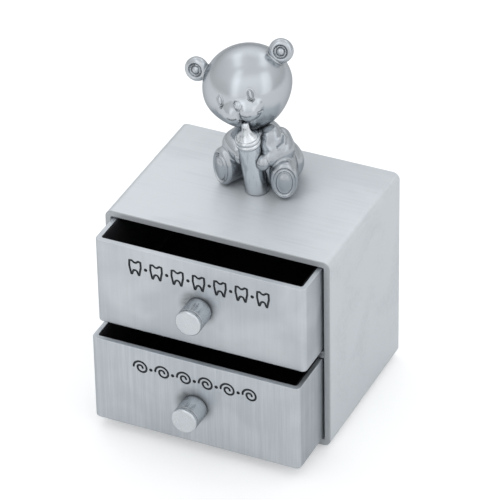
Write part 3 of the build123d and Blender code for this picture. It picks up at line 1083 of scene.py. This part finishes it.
def case_bays_and_painted_shade(tree, place):
    """The case is dark inside its bays, and painted shade makes it a little darker round the bear, at
    the front and behind.
    """
    across, ahead, above = add_node(tree, "ShaderNodeSeparateXYZ", {0: place}).outputs
    fade_start, fade_end = (case_front + depth for depth in bay_fade)
    inner = product(
        tree,
        under(tree, sums(tree, "ABSOLUTE", across), bay_half_width),
        over(tree, above, bay_foot),
        under(tree, above, case_top - case_top_wall),
        under(tree, ahead, case_back - case_back_depth),
        ramp_along(tree, ahead, fade_start, fade_end, 0, bay_dark),
    )
    plate = over(tree, above, case_top - plate_depth)
    # Painted shadow of the bear on the top plate, round its feet
    shade = {
        "Place": place,
        "Middle": vector(*bear_shade_middle) * MM,
        "Reach": vector(*bear_shade_reach) * MM,
        "Inner": bear_shade_inner,
    }
    painted_round_shade = product(tree, use_group(tree, round_mark, shade).outputs[0], plate, bear_shade_dark)
    # Painted shade on the case's front face, and more painted shade towards the back of the top
    rim_start, rim_end = (case_front + depth for depth in front_shade_fade)
    front = ramp_along(tree, ahead, rim_start, rim_end, front_shade_dark, 0)
    rear = ramp_along(tree, ahead, rear_shade_start, case_back, 0, rear_shade_dark)
    return total(tree, inner, painted_round_shade, front, product(tree, rear, plate), clamp=True)


# Drawer fronts: the engraved row, and the painted shade close round the knob
engraving_fade = (0.03, 0.22)
engraving_reach = 0.5
engraving_drops = (8.5, 2.0)
engraving_half_width = 22.0
engraving_dark = 0.93
front_depth = 0.2
knob_shade_offset = (-0.3, 0.5)
knob_shade_reach = 5.6
knob_shade_inner = 0.52
knob_shade_cloud_scale = 260.0
knob_shade_cloud_shares = (0.5, 0.35)
knob_shade_dark = 0.75


def drawer_marks(name):
    """The engraved row is dark, and painted shade darkens the metal close round the knob."""
    (_, face, _), (_, _, top) = corners_of(f"{name}_drawer")
    (_, _, knob_low), (_, _, knob_high) = corners_of(f"{name}_knob")

    def marks(tree, place):
        across, ahead, above = add_node(tree, "ShaderNodeSeparateXYZ", {0: place}).outputs
        engraved = product(
            tree,
            ramp_along(tree, ahead, face + engraving_fade[0], face + engraving_fade[1]),
            under(tree, ahead, face + engraving_reach),
            over(tree, above, top - engraving_drops[0]),
            under(tree, above, top - engraving_drops[1]),
            under(tree, sums(tree, "ABSOLUTE", across), engraving_half_width),
            engraving_dark,
        )
        # Painted shade round the knob's foot on the drawer's front, made uneven by clouding
        aside, upward = knob_shade_offset
        shade = {
            "Place": place,
            "Middle": vector(aside, face, (knob_low + knob_high) / 2 + upward) * MM,
            "Reach": vector(knob_shade_reach, knob_shade_reach, knob_shade_reach) * MM,
            "Inner": knob_shade_inner,
        }
        mark = use_group(tree, round_mark, shade).outputs[0]
        cloud = use_group(tree, clouding, {"Place": place, "Scale": knob_shade_cloud_scale}).outputs[0]
        uneven = total(tree, product(tree, cloud, knob_shade_cloud_shares[0]), knob_shade_cloud_shares[1])
        painted_round_shade = product(tree, mark, under(tree, ahead, face + front_depth), uneven, knob_shade_dark)
        return total(tree, engraved, painted_round_shade, clamp=True)

    return marks


# Knobs: how far ahead of the drawer's front they are dark, with painted shade at the foot and a dark
# line in the groove, and how dark
knob_foot_shade_fade = (-0.9, -0.05)
knob_foot_shade_dark = 0.8
knob_line_ahead = 5.22
knob_line_fade = (0.02, 0.2)
knob_line_dark = 0.85


def knob_marks(name):
    """Dark in the groove near the knob's end, and painted shade where it meets the drawer."""
    face = corners_of(f"{name}_drawer")[0][1]

    def marks(tree, place):
        ahead = add_node(tree, "ShaderNodeSeparateXYZ", {0: place}).outputs[1]
        # Painted shade on the knob where it meets the drawer's front
        foot_shade_start, foot_shade_end = (face + offset for offset in knob_foot_shade_fade)
        foot = ramp_along(tree, ahead, foot_shade_start, foot_shade_end, 0, knob_foot_shade_dark)
        away = sums(tree, "SUBTRACT", ahead, (face - knob_line_ahead) * MM)
        line = ramp_along(tree, sums(tree, "ABSOLUTE", away), *knob_line_fade, knob_line_dark, 0)
        return total(tree, foot, line, clamp=True)

    return marks


def creases(low, high, least, most):
    """Patina stays where the casting is deep, and painted shade where a piece stands close to the case's
    top.
    """

    def marks(tree, place):
        depth = add_node(tree, "ShaderNodeAttribute", attribute_name="crease_depth")
        return ramp(tree, depth.outputs["Fac"], low, high, least, most)

    return marks


def blur_along(finish, way, amount):
    """Spread a finish's reflections along a direction of the object, across the marks of its working."""
    tree = finish.node_tree
    turned_way = add_node(
        tree,
        "ShaderNodeVectorTransform",
        {0: way},
        vector_type="VECTOR",
        convert_from="OBJECT",
        convert_to="WORLD",
    )
    shader = next(node for node in tree.nodes if node.type == "BSDF_PRINCIPLED")
    shader.inputs["Anisotropic"].default_value = amount
    tree.links.new(turned_way.outputs[0], shader.inputs["Tangent"])


# How often the marks of working repeat in a metre, along each axis
across_strokes = (90.0, 5200.0, 5200.0)
upright_strokes = (5200.0, 5200.0, 90.0)
turned_strokes = (900.0, 5200.0, 900.0)
even_grain = (1500.0, 1500.0, 1500.0)
along_bottle = (1500.0, 1500.0, 35.0)

# The case and the drawers are one metal: the case's high tone is painted light for its top, and the
# drawers' low tones are painted shade for their fronts
finishes = {
    "case_shell": pewter(
        "case_pewter", across_strokes, 0.55, case_bays_and_painted_shade, lines=0.22, tone=1.0, metal=0.75
    ),
    "middle_shelf": pewter("shelf_pewter", across_strokes, 0.36, case_bays_and_painted_shade),
    "back_panel": pewter("back_pewter", upright_strokes, 0.36, no_patina),
}
# The drawers' low tones are painted shade on their fronts
for name, roughness, lines, clouds, tone in (
    ("upper", 0.42, 0.14, 0.45, 0.26),
    ("lower", 0.44, 0.36, 0.25, 0.2),
):
    finishes[f"{name}_drawer"] = pewter(
        f"{name}_drawer_pewter", upright_strokes, roughness, drawer_marks(name), lines, clouds, tone
    )
    finishes[f"{name}_knob"] = pewter(
        f"{name}_knob_pewter", turned_strokes, 0.24, knob_marks(name), lines=0.15, clouds=0.2, tone=0.5
    )
screw_steel = pewter("zinc_screws", even_grain, 0.3, no_patina, lines=0.2, clouds=0.2, tone=0.3)
for node in ("upper_knob_screw", "lower_knob_screw", "bear_screws"):
    finishes[node] = screw_steel

# The bear is polished, so it has no lines
polished = {"lines": 0.0, "clouds": 0.25, "depth": 0.0}
head_pewter = pewter(
    "head_pewter", even_grain, 0.24, creases(0.12, 1.0, 0, 0.6), tone=0.12, **polished
)
body_pewter = pewter(
    "body_pewter", even_grain, 0.19, creases(0.3, 1.2, 0.14, 0.3), tone=0.1, metal=0.9, **polished
)
# The bottle's dark: patina in its seams and hollows, and painted shade where it stands on the case
bottle_patina_and_shade = creases(0.2, 1.0, 0, 0.45)
# The bottle's high tone is painted light, which brightens a bottle that mirrors the darker case top
# round it
bottle_pewter = pewter(
    "bottle_pewter", along_bottle, 0.22, bottle_patina_and_shade, lines=1.9, clouds=0.2, tone=0.95, depth=0.12
)
bottle_blur = 0.5
case_blur = 0.8
case_blur_way = (0.05, 1.0, 0.3)

blur_along(bottle_pewter, tuple(bottle_axis), bottle_blur)
blur_along(finishes["case_shell"], case_blur_way, case_blur)

# Cloth

cloth_roughness = 0.92
cloth_specular = 0.15
sheen_roughness = 0.35
nap_height = 0.12


def cloth(name, colour, light, scale, sheen):
    """Felt or velvet."""
    finish, tree, shader, place = new_finish(name)
    pile = use_group(tree, nap, {"Place": place, "Scale": scale})
    tree.links.new(mixed(tree, pile.outputs["Tone"], colour, light), shader.inputs["Base Color"])
    shader.inputs["Roughness"].default_value = cloth_roughness
    shader.inputs["Specular IOR Level"].default_value = cloth_specular
    shader.inputs["Sheen Weight"].default_value = sheen
    shader.inputs["Sheen Roughness"].default_value = sheen_roughness
    height = {"Height": pile.outputs["Height"], "Distance": nap_height * MM, "Strength": 0.6}
    tree.links.new(add_node(tree, "ShaderNodeBump", height).outputs[0], shader.inputs["Normal"])
    return finish


black_velvet = cloth("black_velvet", (0.004, 0.004, 0.005, 1), (0.012, 0.012, 0.014, 1), 2600.0, 0.04)
black_felt = cloth("black_felt", (0.010, 0.010, 0.011, 1), (0.03, 0.03, 0.032, 1), 1800.0, 0.15)


def dress(piece, finish):
    """Give a piece one finish."""
    piece.data.materials.clear()
    piece.data.materials.append(finish)


for node, finish in finishes.items():
    dress(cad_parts[node], finish)


# Linings and the felt pad

corner_steps = 5
cloth_edge_steps = 2
wall_rows = 8
wall_spacing = 3.0
top_share = 0.6

# The slow waves of laid cloth: their depth, how fast they turn across and ahead, and how they bend
wave_depth = 0.035
waves_across = 0.9
waves_ahead = 0.8
bends_ahead = 0.5
bend = 1.3


def rounded_plan(shape, low, high, corner, height):
    """A flat rectangle with round corners."""
    corners = [(low[0], low[1]), (high[0], low[1]), (high[0], high[1]), (low[0], high[1])]
    vertices = [shape.verts.new((x, y, height)) for x, y in corners]
    shape.faces.new(vertices)
    round_off(shape, vertices, corner, corner_steps, "VERTICES")


def divide(shape, low, high, spacing):
    """Cut a mesh across and along, for a fine mesh that can follow a surface."""
    for axis in (0, 1):
        for cut in np.arange(low[axis] + spacing, high[axis] - spacing / 2, spacing):
            middle, normal = [0, 0, 0], [0, 0, 0]
            middle[axis], normal[axis] = cut, 1
            everything = shape.verts[:] + shape.edges[:] + shape.faces[:]
            bmesh.ops.bisect_plane(shape, geom=everything, plane_co=middle, plane_no=normal)


def laid_cloth(name, node, corner, edge_round, spacing):
    """A cut layer of cloth in its node's space, with soft edges and a slightly uneven top."""
    low, high = corners_of(node)
    shape = bmesh.new()
    rounded_plan(shape, low, high, corner, low[2])
    risen = bmesh.ops.extrude_face_region(shape, geom=shape.faces[:])
    top = [item for item in risen["geom"] if isinstance(item, bmesh.types.BMVert)]
    bmesh.ops.translate(shape, verts=top, vec=(0, 0, high[2] - low[2]))
    rim = [e for e in shape.edges if abs(e.verts[0].co.z - e.verts[1].co.z) < tiny]
    round_off(shape, rim, edge_round, cloth_edge_steps, "EDGES")
    divide(shape, low, high, spacing)
    for vertex in shape.verts:
        if vertex.co.z > low[2] + top_share * (high[2] - low[2]):
            across, ahead = vertex.co.x, vertex.co.y
            wave = math.sin(across * waves_across + bend * math.sin(ahead * bends_ahead))
            vertex.co.z -= wave_depth * (1 + wave * math.sin(ahead * waves_ahead))
    return to_object(shape, name), high - low


def wall_strip(name, node, corner, thickness):
    """A strip of cloth that goes once round the walls of a drawer."""
    low, high = corners_of(node)
    shape = bmesh.new()
    rounded_plan(shape, low, high, corner, low[2])
    bmesh.ops.delete(shape, geom=shape.faces[:], context="FACES_ONLY")
    edges = shape.edges[:]
    for _ in range(wall_rows):
        risen = bmesh.ops.extrude_edge_only(shape, edges=edges)
        top = [item for item in risen["geom"] if isinstance(item, bmesh.types.BMVert)]
        edges = [item for item in risen["geom"] if isinstance(item, bmesh.types.BMEdge)]
        bmesh.ops.translate(shape, verts=top, vec=(0, 0, (high[2] - low[2]) / wall_rows))
    divide(shape, low, high, wall_spacing)
    bmesh.ops.recalc_face_normals(shape, faces=shape.faces[:])
    centre = Vector((low + high) / 2)
    if sum((face.calc_center_median() - centre).dot(face.normal) for face in shape.faces) < 0:
        bmesh.ops.reverse_faces(shape, faces=shape.faces[:])
    bmesh.ops.solidify(shape, geom=shape.faces[:], thickness=thickness)
    around = 2 * (high[0] - low[0] + high[1] - low[1]) - (8 - math.tau) * corner
    return to_object(shape, name), around, high[2] - low[2]


lining_corner = 0.6
lining_thickness = 0.46
lining_round = 0.12
lining_spacing = 2.5
felt_corner = 1.5
felt_round = 0.2
felt_spacing = 3.0

for name in ("upper", "lower"):
    body = f"{name}_tray"
    floor_cloth, size = laid_cloth(
        f"{name}_floor_velvet", f"{name}_floor_lining", lining_corner, lining_round, lining_spacing
    )
    wall_cloth, around, height = wall_strip(
        f"{name}_wall_velvet", f"{name}_wall_lining", lining_corner, lining_thickness
    )
    for piece in (floor_cloth, wall_cloth):
        dress(piece, black_velvet)
        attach(piece, body)
    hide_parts(f"{name}_floor_lining")
    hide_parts(f"{name}_wall_lining")

felt_pad, felt_size = laid_cloth("felt_pad", "base_felt", felt_corner, felt_round, felt_spacing)
dress(felt_pad, black_felt)
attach(felt_pad, "chest")
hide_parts("base_felt")

# The bear and its bottle

for make, node, finish in (
    (make_bear_body, "bear_body", body_pewter),
    (make_bear_head, "bear_head", head_pewter),
    (make_bottle, "feeding_bottle", bottle_pewter),
):
    piece = make()
    dress(piece, finish)
    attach(piece, "chest")
    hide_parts(node)

# Floor

floor_reach = 3.0
floor_seen_glow = 0.3
floor_mirrored_glow = 0.1

floor_mesh = bpy.data.meshes.new("pale_floor")
floor_shape = bmesh.new()
bmesh.ops.create_grid(floor_shape, x_segments=1, y_segments=1, size=floor_reach)
floor_shape.to_mesh(floor_mesh)
floor_shape.free()
floor = bpy.data.objects.new("pale_floor", floor_mesh)
bpy.context.scene.collection.objects.link(floor)

floor_finish, tree, shader, _ = new_finish("pale_floor")
shader.inputs["Base Color"].default_value = (0.80, 0.80, 0.80, 1)
shader.inputs["Roughness"].default_value = 0.9
shader.inputs["Specular IOR Level"].default_value = 0.0
rays = tree.nodes.new("ShaderNodeLightPath").outputs
mirrored = total(tree, rays["Is Glossy Ray"], rays["Is Transmission Ray"])
seen_glow = product(tree, rays["Is Camera Ray"], floor_seen_glow)
glow = total(tree, seen_glow, product(tree, mirrored, floor_mirrored_glow))
tree.links.new(glow, shader.inputs["Emission Strength"])
shader.inputs["Emission Color"].default_value = (1, 1, 1, 1)
dress(floor, floor_finish)

# Light: a pale room with soft panels of light, and one lamp from above


def compass(aside, above):
    """The direction at an angle from the front to the right, and at a height above level."""
    aside, above = math.radians(aside), math.radians(above)
    across = math.sin(aside) * math.cos(above)
    return Vector((across, -math.cos(aside) * math.cos(above), math.sin(above)))


least_ahead = 0.05


def soft_panel_group():
    """How much of a soft panel of light lies in a direction."""
    vectors = ("Direction", "Facing", "Across", "Upward")
    sizes = ("Half Width", "Half Height", "Edge")
    inputs = [(label, "NodeSocketVector") for label in vectors]
    inputs += [(label, "NodeSocketFloat") for label in sizes]
    group, source, result = new_group("soft_panel", inputs, ["Share"])
    direction, edge = source.outputs["Direction"], source.outputs["Edge"]
    ahead, across, upward = (
        vector_step(group, "DOT_PRODUCT", direction, source.outputs[axis])["Value"]
        for axis in vectors[1:]
    )
    shares = [sums(group, "GREATER_THAN", ahead, least_ahead)]
    for offset, half in ((across, "Half Width"), (upward, "Half Height")):
        away = sums(group, "ABSOLUTE", sums(group, "DIVIDE", offset, ahead))
        rim = sums(group, "SUBTRACT", source.outputs[half], away)
        shares.append(ramp(group, sums(group, "DIVIDE", rim, edge), -1.0, 1.0))
    group.links.new(product(group, *shares), result.inputs[0])
    return group


# Each panel: angle from the front, height, lean, half width, half height, soft edge and brightness
panels = (
    (32, 30, 0, 0.80, 0.62, 0.25, 0.28),
    (-16, 34, -13, 0.16, 0.80, 0.06, 0.50),
    (78.5, 16, 22, 0.22, 0.85, 0.06, 0.50),
    (-114, 58, 44, 0.13, 0.40, 0.05, 0.40),
    (157, 49, -50, 0.15, 0.41, 0.05, 0.40),
    (-155, 36, 0, 0.50, 0.35, 0.30, 0.28),
)
room_level = 0.66
room_top_level = 0.90
room_top_height = 0.9
room_colour = (0.97, 0.985, 1.0, 1)

world = bpy.data.worlds.new("studio")
bpy.context.scene.world = world
world.use_nodes = True
tree = world.node_tree
tree.nodes.clear()
direction = tree.nodes.new("ShaderNodeTexCoord").outputs["Generated"]
height = add_node(tree, "ShaderNodeSeparateXYZ", {0: direction}).outputs[2]
level = ramp(tree, height, 0.0, room_top_height, room_level, room_top_level)
soft_panel = soft_panel_group()
for aside, above, lean, half_width, half_height, edge, brightness in panels:
    facing = compass(aside, above)
    level_way = Vector((math.cos(math.radians(aside)), math.sin(math.radians(aside)), 0))
    upward = Matrix.Rotation(math.radians(lean), 3, -facing) @ level_way.cross(-facing)
    panel = {
        "Direction": direction,
        "Facing": facing,
        "Across": upward.cross(facing),
        "Upward": upward,
        "Half Width": half_width,
        "Half Height": half_height,
        "Edge": edge,
    }
    share = use_group(tree, soft_panel, panel).outputs[0]
    level = total(tree, level, product(tree, share, brightness))
soft = add_node(tree, "ShaderNodeBackground", {"Color": room_colour, "Strength": level}).outputs[0]
white = add_node(tree, "ShaderNodeBackground", {"Color": (1, 1, 1, 1), "Strength": 1.0}).outputs[0]
seen = tree.nodes.new("ShaderNodeLightPath").outputs["Is Camera Ray"]
shown = add_node(tree, "ShaderNodeMixShader", {0: seen, 1: soft, 2: white}).outputs[0]
add_node(tree, "ShaderNodeOutputWorld", {0: shown})

lamp_way = compass(-138, 62)
lamp_distance = 1.2
lamp_width = 0.5
lamp_depth = 0.6
lamp_brightness = 0.75
object_middle = Vector((0, 0, 0.05))

# The brightness is what a mirror that faces the lamp would show
lamp = bpy.data.lights.new("ceiling_softbox", "AREA")
lamp.shape = "RECTANGLE"
lamp.size = lamp_width
lamp.size_y = lamp_depth
lamp.energy = lamp_brightness * math.pi * lamp_width * lamp_depth
ceiling = bpy.data.objects.new("ceiling_softbox", lamp)
bpy.context.scene.collection.objects.link(ceiling)
ceiling.location = object_middle + lamp_way * lamp_distance
ceiling.rotation_euler = lamp_way.to_track_quat("Z", "Y").to_euler()
ceiling.visible_camera = False
ceiling.visible_glossy = False

# Camera: its place, angles and lens were solved from the case's corners in the photograph

camera_place = (0.308942, -0.656404, 0.529711)
camera_angles = (55.7684, 0.9061, 24.6707)
camera_lens = 267.14

lens = bpy.data.cameras.new("camera")
lens.sensor_width = 36
lens.sensor_fit = "HORIZONTAL"
lens.lens = camera_lens
lens.clip_start = 0.01
lens.clip_end = 20
camera = bpy.data.objects.new("camera", lens)
bpy.context.scene.collection.objects.link(camera)
camera.location = camera_place
camera.rotation_euler = [math.radians(angle) for angle in camera_angles]
bpy.context.scene.camera = camera

bpy.context.scene.view_settings.view_transform = "Standard"
